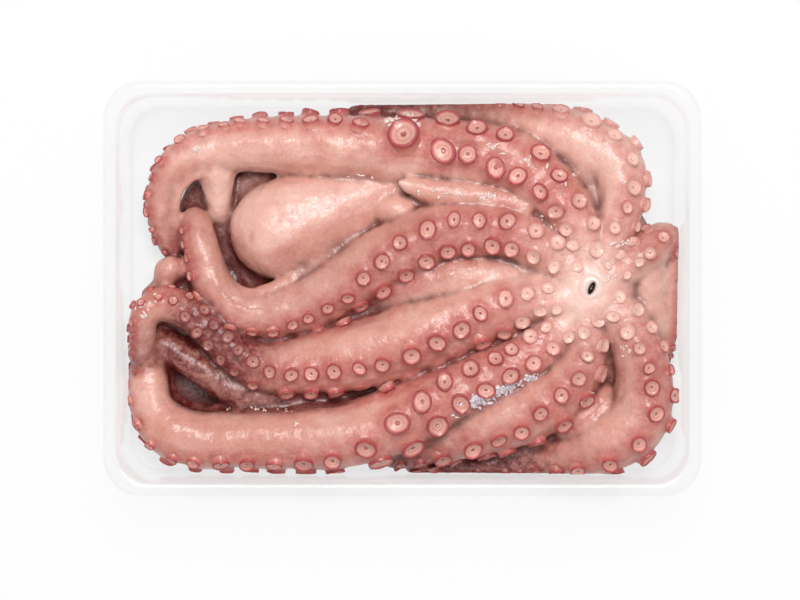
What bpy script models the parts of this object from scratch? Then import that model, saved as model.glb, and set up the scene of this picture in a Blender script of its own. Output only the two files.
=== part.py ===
"""A whole raw octopus packed mouth-up in a clear retail tray.

Two bodies that touch nowhere: the tray, a thin clear shell with a lid ledge and a turned
flange, and the octopus, one closed piece of flesh that lies in it. Metres, +Z up, with the
origin under the centre of the tray, on the surface that it stands on.
"""

import math

import bmesh
import bpy
from mathutils import Matrix, Vector

MM = 0.001

# Driving dimensions, in millimetres.
TRAY_LENGTH = 262.0
TRAY_WIDTH = 182.0
TRAY_HEIGHT = 52.0
TRAY_WALL = 0.8
TRAY_BASE_CORNER = 14.0
CORNER_STEPS = 6

# The under side of the tray's skin, from its floor up the wall, out under the flange and
# down inside the turned lip: how far it lies inside the flange's edge, and its height.
FLOOR_EDGE = (14.0, 0.0)
TRAY_PROFILE = (
    (10.6, 0.9),
    (8.6, 2.6),
    (7.8, 5.2),
    (6.8, 45.4),
    (5.9, 46.6),
    (5.6, 50.3),
    (4.9, TRAY_HEIGHT - TRAY_WALL),
    (1.9, TRAY_HEIGHT - TRAY_WALL),
    (1.1, 50.7),
    (TRAY_WALL, 49.6),
    (TRAY_WALL, 47.4),
)

# The room that the flesh lies in, a fitting gap inside the tray's wall.
GAP = 0.35
ROOM_LENGTH = TRAY_LENGTH - 2 * (7.8 + TRAY_WALL + GAP)
ROOM_WIDTH = TRAY_WIDTH - 2 * (7.8 + TRAY_WALL + GAP)
ROOM_CORNER = 13.0
ROOM_FOOT = 5.0
ROOM_TOP = 45.0

VOXEL = 2.4
SKIN_TRIANGLES = 7800

# The arms, each as (x, y, z, radius) from the crown to the tip.
ARMS = {
    "back_long": (
        (82, 9, 27, 9), (77, 28, 27, 12), (65, 44, 26, 14), (48, 56, 23, 16), (25, 60, 20, 17),
        (6, 62, 19, 16.5), (-10, 63, 18, 16), (-30, 64, 17.5, 15.5), (-52, 65, 16.5, 14),
        (-75, 64, 16, 12.5), (-91, 61, 16, 11.5), (-102, 53.5, 16, 9.5), (-108, 43, 15, 7.4),
        (-108.6, 33, 14, 6.6), (-106, 24, 12, 5.8), (-101, 15, 9, 5), (-94, 8, 6, 4.5), (-84, 3, 6, 4),
    ),
    "inner_left": (
        (73, 11, 27, 10), (60, 20, 27, 12), (43, 26, 26, 13.5), (22, 26, 25, 14.5), (1, 18, 23.5, 15),
        (-15, 9, 22, 14.5), (-31, -1, 20.5, 13.5), (-46, -8, 19, 12.5), (-60, -11.5, 18, 11.5),
        (-74, -9, 18, 10.5), (-85, 2, 18, 9.8), (-89.5, 16, 18, 8.8), (-91.5, 25, 17, 8.2), (-93, 30.5, 15, 6.8),
    ),
    "curled_left": (
        (72, -5, 27, 10), (60, -4, 26.5, 11.5), (43, -8, 25, 14.5), (22, -15.5, 23, 16.5),
        (0, -24, 21, 17), (-23, -31, 19, 16.3), (-44, -34.5, 18, 14), (-60, -35.5, 18, 11.8),
        (-72, -30, 19, 10), (-84, -20, 20, 9.3), (-95, -10.5, 21.5, 9), (-106, -6.5, 23, 8.4),
        (-114.5, -11, 24, 7.4), (-116, -20, 22.5, 6.6), (-116.5, -29, 18, 5.8), (-113, -35, 12, 4.8),
    ),
    "front_long": (
        (73, -15, 26, 9), (61, -26, 25.5, 11.5), (43, -37, 24, 13.5), (21, -47.5, 22, 15.8),
        (0, -58, 20, 16.5), (-14, -63, 19, 16), (-26, -66, 18.5, 15.7), (-46, -67.5, 17.5, 14.8),
        (-68, -67.8, 16.5, 14.2), (-90, -68, 15.5, 13.6), (-105, -63, 14.5, 13), (-113, -52, 13.5, 10.5),
        (-114, -40, 12.5, 9.5), (-113.5, -29, 11, 8), (-106, -25, 11, 7.2), (-95, -32.5, 12, 7.6),
        (-83, -41.5, 12, 7.6), (-68, -48, 12, 7.4), (-46, -50.5, 11, 7), (-26, -49.5, 10, 6),
    ),
    "front_mid": (
        (80, -9, 27, 8), (81.5, -22, 27, 9.5), (79, -34, 25.5, 12), (70, -46, 23.5, 14.5),
        (55, -55, 22, 15.5), (38, -61, 20, 14), (22, -67, 17, 11), (8, -72, 13, 7.8), (-5, -76, 8, 5),
    ),
    "front_right": (
        (89, -3, 27, 8), (98, -13, 26.5, 10.5), (105, -27, 25, 12.5), (108, -43, 23, 14),
        (105, -58, 21, 15.5), (92, -68, 19, 15.5), (76, -74, 14.5, 10.5), (59, -77, 10, 7.5),
        (42, -79, 8.5, 6), (24, -79.5, 7.5, 5), (6, -80, 7, 4.5),
    ),
    "right_fold": (
        (90, 4, 27, 8), (100, 10.5, 27, 9.5), (110, 18, 25, 10), (116.5, 22, 21, 8.6), (117.5, 13, 16, 9),
        (116.5, -2, 14, 9.5), (116.5, -18, 12, 8), (115, -33, 9, 6),
    ),
    "back_right": (
        (88, 12, 27, 8), (94, 25, 27, 9.5), (98, 41, 25, 11.5), (95, 56, 22.5, 13), (80, 66, 20, 13.5),
        (61, 72, 16.5, 12), (41, 76, 13.5, 9), (21, 79, 10.5, 6.5), (1, 79, 9, 5.5), (-21, 78, 8, 5),
    ),
}

# The head sac, from its round end to the neck under the crown, and how far it is pressed down.
HEAD_SAC = (
    (-54.5, 26, 14, 22.5), (-46, 29, 14, 22.5), (-33, 34, 14, 20.5), (-15, 41, 14, 16), (8, 46, 14, 11),
)
SAC_FLAT = 0.72
SAC_STEPS = 5

# Swellings and folds of bare skin, each as (x, y, z, radius).
FOLDS = {
    "funnel": (
        (-83, 51, 14, 8.6), (-82.5, 41, 13, 6.2), (-82, 33, 11, 3.6), (-81, 27, 8, 2.4),
    ),
    "collar_lip": (
        (-83, 12, 17, 1.8), (-77.5, 3, 19, 2.8), (-69, -2.5, 21, 3.4), (-57.5, 0, 21.5, 3.2),
        (-44.5, 7.5, 22, 2.8), (-27, 19.5, 23, 2.4), (-15, 28, 21, 1.9),
    ),
    "arm_ridge": (
        (-88, 52, 21, 2.2), (-95, 48.5, 21, 2.2), (-100, 41, 20, 2), (-101, 31, 17, 1.9),
        (-99, 18, 13, 1.7),
    ),
    "stray_tip": (
        (-100, 9, 17, 4.6), (-104.5, 9, 19, 5.8), (-107, 2, 15, 4.8), (-113, -3, 14, 4),
    ),
    "dark_frill": (
        (-106, -33, 9, 2.4), (-105, -41, 7, 3), (-103, -48, 6.5, 3.2), (-95, -53, 6.5, 3),
        (-82, -54, 7, 2.6),
    ),
    "web_flap": (
        (-0.5, 47, 32, 1.7), (4, 45.5, 29.5, 4), (16, 43, 27.5, 6), (34, 40.5, 27, 7), (54, 36, 27, 7),
    ),
    "sheet_edge": (
        (20, -33, 21, 4.4), (36, -30, 23, 4.6), (52, -22, 25, 5),
    ),
}

# Masses of flesh and web between the arms: centre and half sizes.
MASSES = (
    ((84, 0, 20), (21, 23, 17)),
    ((74, -4, 8), (44, 58, 17)),
    ((30, 4, 14), (62, 26, 15)),
    ((28, 4, 19), (46, 15, 13.5)),
    ((-2, 35, 15), (15, 9, 13)),
    ((-10, -8, 10), (50, 22, 12)),
    ((34, 41, 18), (34, 13, 13)),
    ((60, 40, 17), (24, 16, 14)),
    ((84, 38, 15), (13, 16, 14)),
    ((78, 52, 15), (18, 16, 13)),
    ((16, 62, 8), (62, 16, 9)),
    ((108, -4, 12), (13, 30, 15)),
    ((110, 6, 18), (9, 16, 12)),
    ((-40, -62, 8), (62, 15, 9)),
    ((62, -62, 8), (44, 18, 10)),
    ((84, -56, 16), (20, 16, 13)),
    ((30, -32, 12), (36, 12, 11)),
    ((-28, -45, 5), (40, 14, 9)),
    ((-60, -26, 4), (24, 12, 9)),
    ((-92, -8, 8), (16, 14, 9)),
    ((-88, -27, 5), (22, 14, 9)),
    ((-107, -18, 5), (10, 10, 9)),
    ((-58, 8, 4), (28, 14, 7)),
    ((-84, 27, 4), (18, 28, 8)),
    ((-66, 44, 4), (18, 12, 7)),
    ((-58, -22.5, 12), (9, 6, 8)),
    ((-98, 3, 7), (9, 9, 9)),
)


def clear_scene():
    """Remove whatever objects the scene holds."""
    for old in list(bpy.data.objects):
        bpy.data.objects.remove(old, do_unlink=True)


def make_collection(name):
    """Add a collection under the scene's own."""
    group = bpy.data.collections.new(name)
    bpy.context.scene.collection.children.link(group)
    return group


def make_material(name, colour, roughness, alpha=1.0):
    """Make a plain finish: colour, roughness and how clear it is."""
    finish = bpy.data.materials.new(name)
    finish.use_nodes = True
    shader = finish.node_tree.nodes["Principled BSDF"]
    shader.inputs["Base Color"].default_value = (*colour, 1.0)
    shader.inputs["Roughness"].default_value = roughness
    shader.inputs["Metallic"].default_value = 0.0
    shader.inputs["Alpha"].default_value = alpha
    return finish


def add_object(name, mesh, group):
    """Put a mesh in a collection as a named object."""
    thing = bpy.data.objects.new(name, mesh)
    group.objects.link(thing)
    return thing


def add_helper(name, mesh, group):
    """Add an object that only cuts or guides another."""
    thing = add_object(name, mesh, group)
    thing.hide_render = True
    thing.display_type = "WIRE"
    return thing


def rounded_floor(bm, half_x, half_y, corner, height):
    """Start a shell from a flat rectangle with rounded corners, facing down."""
    bmesh.ops.create_grid(bm, x_segments=1, y_segments=1, size=1.0)
    bmesh.ops.scale(bm, vec=(half_x, half_y, 1.0), verts=bm.verts)
    bmesh.ops.translate(bm, vec=(0.0, 0.0, height), verts=bm.verts)
    bmesh.ops.bevel(
        bm, geom=list(bm.verts), offset=corner, segments=CORNER_STEPS,
        profile=0.5, affect="VERTICES", material=-1,
    )
    bmesh.ops.reverse_faces(bm, faces=bm.faces)


def grow_ring(bm, edges, old_half, new_half, height):
    """Extrude the shell's open edge to the next outline and height."""
    result = bmesh.ops.extrude_edge_only(bm, edges=edges)
    verts = [item for item in result["geom"] if isinstance(item, bmesh.types.BMVert)]
    factor = (new_half[0] / old_half[0], new_half[1] / old_half[1], 1.0)
    bmesh.ops.scale(bm, vec=factor, verts=verts)
    rise = height - verts[0].co.z
    bmesh.ops.translate(bm, vec=(0.0, 0.0, rise), verts=verts)
    return [item for item in result["geom"] if isinstance(item, bmesh.types.BMEdge)]


def half_sizes(inset):
    """Half length and half width of the tray's outline at an inset, in metres."""
    return ((TRAY_LENGTH / 2 - inset) * MM, (TRAY_WIDTH / 2 - inset) * MM)


def build_tray(group):
    """The clear tray: one skin grown from its floor, then given its wall."""
    bm = bmesh.new()
    old_half = half_sizes(FLOOR_EDGE[0])
    rounded_floor(bm, *old_half, TRAY_BASE_CORNER * MM, FLOOR_EDGE[1] * MM)
    edges = [edge for edge in bm.edges if edge.is_boundary]
    for inset, height in TRAY_PROFILE:
        new_half = half_sizes(inset)
        edges = grow_ring(bm, edges, old_half, new_half, height * MM)
        old_half = new_half
    bmesh.ops.recalc_face_normals(bm, faces=bm.faces)
    floor = min(bm.faces, key=lambda face: face.calc_center_median().z)
    if floor.normal.z > 0:
        bmesh.ops.reverse_faces(bm, faces=bm.faces)
    mesh = bpy.data.meshes.new("tray")
    bm.to_mesh(mesh)
    bm.free()
    tray = add_object("tray", mesh, group)
    tray.data.materials.append(make_material("clear_plastic", (0.93, 0.94, 0.95), 0.06, 0.25))
    wall = tray.modifiers.new("wall", "SOLIDIFY")
    wall.thickness = TRAY_WALL * MM
    wall.offset = -1.0
    wall.use_even_offset = True
    tray.data.shade_smooth()
    tray.data.set_sharp_from_angle(angle=math.radians(40))
    return tray


def tapered_tube(name, route, group, steps=3):
    """A tube through a route of points, each with its own radius."""
    curve = bpy.data.curves.new(name, "CURVE")
    curve.dimensions = "3D"
    curve.bevel_depth = MM
    curve.bevel_resolution = steps
    curve.resolution_u = 4
    curve.use_fill_caps = True
    spline = curve.splines.new("BEZIER")
    spline.bezier_points.add(len(route) - 1)
    for point, (x, y, z, radius) in zip(spline.bezier_points, route):
        point.co = (x * MM, y * MM, z * MM)
        point.radius = radius
        point.handle_left_type = "AUTO"
        point.handle_right_type = "AUTO"
    return add_helper(name, curve, group)


def ball(bm, centre, half):
    """Add a ball stretched to three half sizes, in millimetres."""
    place = Matrix.Translation(Vector(centre) * MM) @ Matrix.Diagonal((*(Vector(half) * MM), 1.0))
    bmesh.ops.create_uvsphere(bm, u_segments=24, v_segments=16, radius=1.0, matrix=place)


def add_tube(bm, tube):
    """Add a curve's tube to a mesh, with its caps welded and its ends rounded."""
    graph = bpy.context.evaluated_depsgraph_get()
    mesh = bpy.data.meshes.new_from_object(tube.evaluated_get(graph))
    bm.from_mesh(mesh)
    bpy.data.meshes.remove(mesh)
    points = tube.data.splines[0].bezier_points
    for end in (points[0], points[-1]):
        radius = end.radius
        ball(bm, end.co / MM, (radius, radius, radius))


def add_head_sac(bm):
    """Add the head sac: a row of pressed balls from its round end to its neck."""
    for start, end in zip(HEAD_SAC, HEAD_SAC[1:]):
        for step in range(SAC_STEPS):
            part = step / SAC_STEPS
            x, y, z, radius = (first + (last - first) * part for first, last in zip(start, end))
            ball(bm, (x, y, z), (radius, radius, radius * SAC_FLAT))


def cut_room(group):
    """The space inside the tray that the flesh may fill, as a closed block."""
    bm = bmesh.new()
    half = (ROOM_LENGTH / 2 * MM, ROOM_WIDTH / 2 * MM)
    foot = ((ROOM_LENGTH / 2 - ROOM_FOOT) * MM, (ROOM_WIDTH / 2 - ROOM_FOOT) * MM)
    base = (TRAY_WALL + GAP) * MM
    rounded_floor(bm, *foot, ROOM_CORNER * MM, base)
    edges = [edge for edge in bm.edges if edge.is_boundary]
    edges = grow_ring(bm, edges, foot, half, base + ROOM_FOOT * MM)
    edges = grow_ring(bm, edges, half, half, ROOM_TOP * MM)
    bmesh.ops.contextual_create(bm, geom=edges)
    bmesh.ops.recalc_face_normals(bm, faces=bm.faces)
    mesh = bpy.data.meshes.new("room")
    bm.to_mesh(mesh)
    bm.free()
    return add_helper("room", mesh, group)


def build_octopus(group, helpers):
    """The whole animal as one closed skin, trimmed flat where it meets the tray."""
    tubes = [tapered_tube(f"arm_{name}", route, helpers) for name, route in ARMS.items()]
    tubes += [tapered_tube(name, route, helpers) for name, route in FOLDS.items()]
    bpy.context.view_layer.update()
    bm = bmesh.new()
    for tube in tubes:
        add_tube(bm, tube)
    add_head_sac(bm)
    for centre, half in MASSES:
        ball(bm, centre, half)
    bmesh.ops.remove_doubles(bm, verts=bm.verts, dist=0.01 * MM)
    mesh = bpy.data.meshes.new("octopus")
    bm.to_mesh(mesh)
    bm.free()
    for tube in tubes:
        bpy.data.objects.remove(tube, do_unlink=True)

    octopus = add_object("octopus", mesh, group)
    octopus.data.materials.append(make_material("raw_flesh", (0.72, 0.40, 0.33), 0.3))
    union = octopus.modifiers.new("one_skin", "REMESH")
    union.mode = "VOXEL"
    union.voxel_size = VOXEL * MM
    relax = octopus.modifiers.new("relax", "SMOOTH")
    relax.factor = 0.5
    relax.iterations = 3
    graph = bpy.context.evaluated_depsgraph_get()
    skin = bpy.data.meshes.new_from_object(octopus.evaluated_get(graph))
    octopus.modifiers.clear()
    octopus.data = skin
    fewer = octopus.modifiers.new("fewer_faces", "DECIMATE")
    fewer.ratio = min(1.0, SKIN_TRIANGLES / (2 * len(skin.polygons)))
    trim = octopus.modifiers.new("trim_to_tray", "BOOLEAN")
    trim.operation = "INTERSECT"
    trim.object = cut_room(helpers)
    skin.shade_smooth()
    return octopus


def main():
    """Build the tray and the octopus in it."""
    clear_scene()
    parts = make_collection("octopus_in_tray")
    helpers = make_collection("cutters")
    build_tray(parts)
    build_octopus(parts, helpers)


main()
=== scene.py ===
"""The looks of a whole raw octopus that lies mouth-up in its clear tray.

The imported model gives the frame: the tray's size and the room that the flesh fills. Each
class below makes one sub-assembly round that frame, in metres, with its place in its mesh.
"""

import logging
import math
import random
from dataclasses import dataclass, field
from enum import Enum

import bmesh
import bpy
import numpy as np
from mathutils import Matrix, Vector, noise
from mathutils.bvhtree import BVHTree
from mathutils.kdtree import KDTree

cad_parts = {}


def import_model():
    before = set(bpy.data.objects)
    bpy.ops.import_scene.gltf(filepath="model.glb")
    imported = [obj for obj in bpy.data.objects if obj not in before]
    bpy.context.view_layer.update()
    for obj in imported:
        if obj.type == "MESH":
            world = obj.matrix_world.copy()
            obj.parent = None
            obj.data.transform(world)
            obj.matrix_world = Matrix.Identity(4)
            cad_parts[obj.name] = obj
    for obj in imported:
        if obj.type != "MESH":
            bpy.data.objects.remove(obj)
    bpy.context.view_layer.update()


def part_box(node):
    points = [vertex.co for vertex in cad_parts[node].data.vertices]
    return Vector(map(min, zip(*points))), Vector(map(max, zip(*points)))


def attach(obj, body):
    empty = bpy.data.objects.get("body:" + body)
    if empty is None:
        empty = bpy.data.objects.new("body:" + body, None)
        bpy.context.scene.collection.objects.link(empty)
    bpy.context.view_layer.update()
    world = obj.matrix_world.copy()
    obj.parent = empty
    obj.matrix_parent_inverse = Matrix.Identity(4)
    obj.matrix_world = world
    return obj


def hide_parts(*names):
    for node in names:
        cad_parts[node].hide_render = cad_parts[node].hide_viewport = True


LOG = logging.getLogger("octopus")
MM = 0.001
SEED = 11
MOUTH = (83.5, 0.2, 36.5)
WALL_INSET = 8.7
SHEET_TOP = 0.9


@dataclass(frozen=True)
class Limb:
    """One arm's route from the crown to its tip.

    Each stop holds x, y, z and half width in millimetres, how far the suckers are turned
    from straight up towards the arm's right in degrees, how dark the skin is (1) or how
    pale (-1), and how wide its suckers are in millimetres.
    """

    name: str
    stops: tuple[tuple[float, float, float, float, float, float, float], ...]
    phase: float = 0.0


@dataclass(frozen=True)
class Fold:
    """A bare swelling or fold of skin.

    Each stop holds x, y, z and half width in millimetres, and how dark (1) or pale (-1) it
    is. A flat fold is pressed down to a part of its height.
    """

    name: str
    stops: tuple[tuple[float, float, float, float, float], ...]
    flat: float = 1.0


LIMBS = (
    Limb("back_long", (
        (82, 9, 27, 9, 0, -0.3, 6), (77, 28, 27, 12, 5, -0.1, 7.5), (65, 44, 26, 14, 8, 0, 9),
        (48, 56, 23, 16, 15, 0.05, 9.5), (25, 60, 20, 17, 26, 0.1, 10), (6, 62, 19, 16.5, 42, 0.05, 14.5),
        (-10, 63, 18, 16, 62, 0.1, 10), (-30, 64, 17.5, 15.5, 72, 0, 9), (-52, 65, 16.5, 14, 76, -0.1, 7.5),
        (-75, 64, 16, 12.5, 80, -0.2, 6.5), (-91, 61, 16, 11.5, 82, -0.3, 6),
        (-102, 53.5, 16, 9.5, 85, 0.05, 5.5), (-108, 43, 15, 7.4, 88, 0.15, 5),
        (-108.6, 33, 14, 6.6, 90, 0.25, 4.6), (-106, 24, 12, 5.8, 90, 0.4, 4),
        (-101, 15, 9, 5, 90, 0.5, 3.5), (-94, 8, 6, 4.5, 90, 0.5, 3), (-84, 3, 6, 4, 90, 0.5, 2.5),
    )),
    Limb("inner_left", (
        (73, 11, 27, 10, 0, -0.2, 6.5), (60, 20, 27, 12, -5, 0, 7.5), (43, 26, 26, 13.5, -12, 0.1, 8.5),
        (22, 26, 25, 14.5, -14, 0.15, 8.5), (1, 18, 23.5, 15, -20, 0.2, 8.3),
        (-15, 9, 22, 14.5, -32, 0.2, 7.6), (-31, -1, 20.5, 13.5, -55, 0.2, 6.6),
        (-46, -8, 19, 12.5, -64, 0.15, 6), (-60, -11.5, 18, 11.5, -72, 0.1, 5.6),
        (-74, -9, 18, 10.5, -76, 0.15, 5.4), (-85, 2, 18, 9.8, -76, 0.15, 5),
        (-89.5, 16, 18, 8.8, -76, 0.2, 4.6), (-91.5, 25, 17, 8.2, -76, 0.25, 4.2),
        (-93, 30.5, 15, 6.8, -76, 0.35, 3.4),
    ), phase=0.35),
    Limb("curled_left", (
        (72, -5, 27, 10, 0, -0.3, 6), (60, -4, 26.5, 11.5, -8, -0.15, 7), (43, -8, 25, 14.5, -24, 0, 8.6),
        (22, -15.5, 23, 16.5, -40, 0.05, 8.6), (0, -24, 21, 17, -48, 0.05, 8.3),
        (-23, -31, 19, 16.3, -46, 0.05, 7.4), (-44, -34.5, 18, 14, -40, 0.1, 7),
        (-60, -35.5, 18, 11.8, -34, 0.4, 6.6), (-72, -30, 19, 10, -15, 0.92, 6),
        (-84, -20, 20, 9.3, -5, 1.0, 5.6), (-95, -10.5, 21.5, 9, 12, 0.8, 5),
        (-106, -6.5, 23, 8.4, 45, 0.2, 4.6), (-114.5, -11, 24, 7.4, 66, 0.15, 4.2),
        (-116, -20, 22.5, 6.6, 78, 0.4, 3.8), (-116.5, -29, 18, 5.8, 80, 0.6, 3.2),
        (-113, -35, 12, 4.8, 80, 0.8, 2.8),
    ), phase=0.1),
    Limb("front_long", (
        (73, -15, 26, 9, 0, -0.2, 6), (61, -26, 25.5, 11.5, 5, 0, 7.4), (43, -37, 24, 13.5, 6, 0.1, 8.4),
        (21, -47.5, 22, 15.8, 0, 0.1, 9.8), (0, -58, 20, 16.5, -26, 0.05, 11),
        (-14, -63, 19, 16, -46, 0.05, 12), (-26, -66, 18.5, 15.7, -64, 0.1, 9.6),
        (-46, -67.5, 17.5, 14.8, -74, 0.1, 9), (-68, -67.8, 16.5, 14.2, -76, 0.1, 8),
        (-90, -68, 15.5, 13.6, -80, 0.1, 7.2), (-105, -63, 14.5, 13, -85, 0.05, 6),
        (-113, -52, 13.5, 10.5, -88, -0.1, 5), (-114, -40, 12.5, 9.5, -110, 0, 4.4),
        (-113.5, -29, 11, 8, -140, 0.4, 4), (-106, -25, 11, 7.2, -170, 0.9, 3.6),
        (-95, -32.5, 12, 7.6, -200, 0.86, 3.6), (-83, -41.5, 12, 7.6, -212, 0.84, 3.6),
        (-68, -48, 12, 7.4, -216, 0.84, 3.6), (-46, -50.5, 11, 7, -218, 0.84, 3.4),
        (-26, -49.5, 10, 6, -220, 0.75, 3),
    ), phase=0.2),
    Limb("front_mid", (
        (80, -9, 27, 8, 0, -0.2, 5.5), (81.5, -22, 27, 9.5, -20, 0.1, 7),
        (79, -34, 25.5, 12, -34, 0.15, 7.6), (70, -46, 23.5, 14.5, -32, 0.1, 7.8),
        (55, -55, 22, 15.5, -48, 0.1, 8.4), (38, -61, 20, 14, -62, 0.15, 9.4),
        (22, -67, 17, 11, -70, 0.4, 8.4), (8, -72, 13, 7.8, -78, 0.65, 6), (-5, -76, 8, 5, -80, 0.8, 4),
    ), phase=0.6),
    Limb("front_right", (
        (89, -3, 27, 8, 0, -0.2, 5), (98, -13, 26.5, 10.5, -15, 0.05, 6.4),
        (105, -27, 25, 12.5, -26, 0.15, 6.6), (108, -43, 23, 14, -38, 0.2, 7),
        (105, -58, 21, 15.5, -54, 0.1, 8.4), (92, -68, 19, 15.5, -66, 0.1, 9.6),
        (76, -74, 14.5, 10.5, -76, 0.3, 7.4), (59, -77, 10, 7.5, -80, 0.75, 5.4),
        (42, -79, 8.5, 6, -85, 0.9, 4.6), (24, -79.5, 7.5, 5, -85, 0.95, 4),
        (6, -80, 7, 4.5, -85, 0.9, 3.4),
    ), phase=0.4),
    Limb("right_fold", (
        (90, 4, 27, 8, 0, -0.2, 4.6), (100, 10.5, 27, 9.5, -10, 0.1, 5), (110, 18, 25, 10, -25, 0.2, 5.6),
        (116.5, 22, 21, 8.6, -50, 0.25, 6), (117.5, 13, 16, 9, -80, 0.1, 5),
        (116.5, -2, 14, 9.5, -85, -0.05, 4.4), (116.5, -18, 12, 8, -85, 0.1, 4),
        (115, -33, 9, 6, -85, 0.3, 3),
    ), phase=0.3),
    Limb("back_right", (
        (88, 12, 27, 8, 0, -0.3, 5), (94, 25, 27, 9.5, 25, -0.1, 6), (98, 41, 25, 11.5, 50, -0.35, 7.4),
        (95, 56, 22.5, 13, 62, -0.55, 8), (80, 66, 20, 13.5, 72, -0.55, 8.6),
        (61, 72, 16.5, 12, 80, -0.2, 7), (41, 76, 13.5, 9, 85, 0.4, 4.6),
        (21, 79, 10.5, 6.5, 90, 0.65, 3.6), (1, 79, 9, 5.5, 90, 0.7, 3), (-21, 78, 8, 5, 90, 0.7, 2.6),
    ), phase=0.7),
)

FOLDS = (
    Fold("head_sac", (
        (-54.5, 26, 14, 22.5, -0.45), (-46, 29, 14, 22.5, -0.45), (-33, 34, 14, 20.5, -0.4),
        (-15, 41, 14, 16, -0.2), (8, 46, 14, 11, 0.0),
    ), flat=0.72),
    Fold("funnel", (
        (-83, 51, 14, 8.6, -0.4), (-82.5, 41, 13, 6.2, -0.6), (-82, 33, 11, 3.6, -0.5),
        (-81, 27, 8, 2.4, 0.2),
    )),
    Fold("collar_lip", (
        (-83, 12, 17, 1.8, 0.3), (-77.5, 3, 19, 2.8, 0.3), (-69, -2.5, 21, 3.4, 0.2),
        (-57.5, 0, 21.5, 3.2, 0.2), (-44.5, 7.5, 22, 2.8, 0.2), (-27, 19.5, 23, 2.4, 0.15),
        (-15, 28, 21, 1.9, 0.1),
    )),
    Fold("arm_ridge", (
        (-88, 52, 21, 2.2, 0.1), (-95, 48.5, 21, 2.2, 0.1), (-100, 41, 20, 2.0, 0.1),
        (-101, 31, 17, 1.9, 0.2), (-99, 18, 13, 1.7, 0.4),
    )),
    Fold("stray_tip", (
        (-100, 9, 17, 4.6, 0.4), (-104.5, 9, 19, 5.8, 0.15), (-107, 2, 15, 4.8, 0.5),
        (-113, -3, 14, 4.0, 0.7),
    )),
    Fold("dark_frill", (
        (-106, -33, 9, 2.4, 0.9), (-105, -41, 7, 3.0, 1.0), (-103, -48, 6.5, 3.2, 1.0),
        (-95, -53, 6.5, 3.0, 1.0), (-82, -54, 7, 2.6, 1.0),
    )),
    Fold("web_flap", (
        (-0.5, 47, 32, 1.7, -0.7), (4, 45.5, 29.5, 4.0, -0.3), (16, 43, 27.5, 6.0, 0.05),
        (34, 40.5, 27, 7.0, 0.05), (54, 36, 27, 7.0, 0),
    )),
    Fold("sheet_edge", (
        (20, -33, 21, 4.4, 0.0), (36, -30, 23, 4.6, 0.0), (52, -22, 25, 5.0, -0.1),
    )),
)

# Masses of flesh and web between the arms: centre and half sizes. The lowest ones fill the gaps between the
# arms and get the painted shade near the tray's floor.
MASSES = (
    ((84, 0, 20), (21, 23, 17)),
    ((74, -4, 8), (44, 58, 17)),
    ((30, 4, 14), (62, 26, 15)),
    ((28, 4, 19), (46, 15, 13.5)),
    ((-2, 35, 15), (15, 9, 13)),
    ((-10, -8, 10), (50, 22, 12)),
    ((34, 41, 18), (34, 13, 13)),
    ((60, 40, 17), (24, 16, 14)),
    ((84, 38, 15), (13, 16, 14)),
    ((78, 52, 15), (18, 16, 13)),
    ((16, 62, 8), (62, 16, 9)),
    ((108, -4, 12), (13, 30, 15)),
    ((110, 6, 18), (9, 16, 12)),
    ((-40, -62, 8), (62, 15, 9)),
    ((62, -62, 8), (44, 18, 10)),
    ((84, -56, 16), (20, 16, 13)),
    ((30, -32, 12), (36, 12, 11)),
    ((-28, -45, 5), (40, 14, 9)),
    ((-60, -26, 4), (24, 12, 9)),
    ((-92, -8, 8), (16, 14, 9)),
    ((-88, -27, 5), (22, 14, 9)),
    ((-107, -18, 5), (10, 10, 9)),
    ((-58, 8, 4), (28, 14, 7)),
    ((-84, 27, 4), (18, 28, 8)),
    ((-66, 44, 4), (18, 12, 7)),
    ((-58, -22.5, 12), (9, 6, 8)),
    ((-98, 3, 7), (9, 9, 9)),
)


class Course:
    """A smooth line through a route's stops, read every millimetre."""

    def __init__(self, stops: tuple[tuple[float, ...], ...], step: float = 1.0) -> None:
        """Sample the line.

        Args:
            stops: Points whose first three values are a place in millimetres, and whose
                other values run smoothly along the line.
            step: The distance between samples, in millimetres.
        """
        knots = np.array(stops, dtype=float)
        padded = np.vstack([2 * knots[0] - knots[1], knots, 2 * knots[-1] - knots[-2]])
        pieces = []
        for index in range(1, len(padded) - 2):
            before, start, end, after = padded[index - 1:index + 3]
            count = max(2, int(np.linalg.norm((end - start)[:3]) / step))
            part = np.linspace(0.0, 1.0, count, endpoint=False)[:, None]
            pieces.append(0.5 * (
                2 * start + (end - before) * part
                + (2 * before - 5 * start + 4 * end - after) * part ** 2
                + (3 * start - before - 3 * end + after) * part ** 3
            ))
        values = np.vstack([*pieces, knots[-1:]])
        self.points = values[:, :3]
        self.radius = np.maximum(values[:, 3], 0.8)
        self.extra = values[:, 4:]
        self.tangent = np.gradient(self.points, axis=0)
        self.tangent /= np.linalg.norm(self.tangent, axis=1)[:, None]
        up = np.array([0.0, 0.0, 1.0]) - self.tangent * self.tangent[:, 2:3]
        self.up = up / np.linalg.norm(up, axis=1)[:, None]
        self.right = np.cross(self.tangent, self.up)
        steps = np.linalg.norm(np.diff(self.points, axis=0), axis=1)
        self.distance = np.concatenate([[0.0], np.cumsum(steps)])

    def facing(self, turn: np.ndarray) -> np.ndarray:
        """Directions across the line, turned from up towards the right by angles in degrees."""
        angle = np.radians(turn)[:, None]
        return np.cos(angle) * self.up + np.sin(angle) * self.right

    def index_at(self, distance: float) -> int:
        """The sample nearest to a distance along the line."""
        return int(np.clip(np.searchsorted(self.distance, distance), 0, len(self.distance) - 1))


@dataclass
class Sucker:
    """One sucker's place: its rim's centre and axis, in millimetres, and its looks."""

    seat: np.ndarray
    axis: np.ndarray
    root: np.ndarray
    radius: float
    tone: float
    pale: float
    limb: str


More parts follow.
